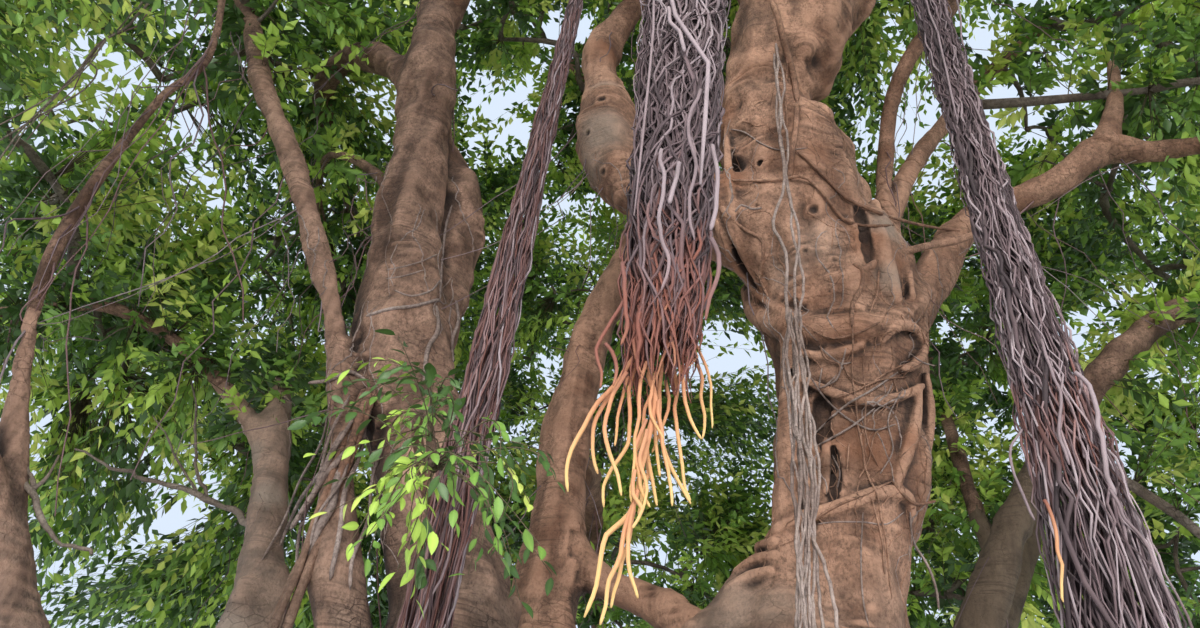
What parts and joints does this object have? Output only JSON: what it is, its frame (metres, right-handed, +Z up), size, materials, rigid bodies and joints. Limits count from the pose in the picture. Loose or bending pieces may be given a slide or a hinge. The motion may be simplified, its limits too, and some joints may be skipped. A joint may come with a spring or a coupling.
{
  "type": "moreton bay fig tree",
  "caption": "Whole broad-crowned fig tree on a buttressed fused bole, with smooth bulging stems, spreading boughs and hanging curtains of aerial roots.",
  "frame": {"origin": "middle of the flat cut under the bole, at ground level", "axes": "+Z up the tree, +X to the right and +Y away for a person who stands under the crown and looks at the side that the picture shows"},
  "size_m": [17.5904, 17.7213, 14.4803],
  "materials": {
    "bole_bark": "rough grey-brown bark with shallow folds",
    "bark": "smooth matt pinkish-brown bark with fine rings and small pits",
    "aerial_root": "matt purple-grey strands, reddish and then orange to yellow at a growing tip",
    "leaf": "glossy dark green leaves with brighter young ones"
  },
  "bodies": {
    "root": {"bough_back_low": "bark", "bough_back_rise": "bark", "bough_elbow": "bark", "bough_elbow_spur": "bark", "bough_far_rise": "bark", "bough_fork": "bark", "bough_front": "bark", "bough_front_left": "bark", "bough_front_low_left": "bark", "bough_front_low_right": "bark", "bough_front_right": "bark", "bough_left_front": "bark", "bough_left_knuckle": "bark", "bough_left_pale": "bark", "bough_low_left": "bark", "bough_low_right": "bark", "bough_pale": "bark", "bough_sawn": "bark", "bough_up_back": "bark", "bough_up_centre": "bark", "bough_up_front": "bark", "leaf_cap": "leaf", "leaf_low_1": "leaf", "leaf_low_2": "leaf", "leaf_low_3": "leaf", "leaf_low_4": "leaf", "leaf_low_5": "leaf", "leaf_low_6": "leaf", "leaf_low_7": "leaf", "leaf_low_8": "leaf", "leaf_low_9": "leaf", "leaf_mid_1": "leaf", "leaf_mid_2": "leaf", "leaf_mid_3": "leaf", "leaf_mid_4": "leaf", "leaf_mid_5": "leaf", "leaf_mid_6": "leaf", "leaf_mid_7": "leaf", "leaf_mid_8": "leaf", "leaf_shoots": "leaf", "leaf_top_1": "leaf", "leaf_top_2": "leaf", "leaf_top_3": "leaf", "leaf_top_4": "leaf", "leaf_top_5": "leaf", "root_curtain_centre": "aerial_root", "root_curtain_left": "aerial_root", "root_curtain_right": "aerial_root", "root_pillar_left": "aerial_root", "root_strands_front": "aerial_root", "stem_back": "bark", "stem_edge": "bark", "stem_far": "bark", "stem_grey": "bark", "stem_left": "bark", "stem_right": "bark", "stem_slim": "bark", "trunk": "bole_bark", "twig_shoots": "bark"}
  },
  "joints": []
}
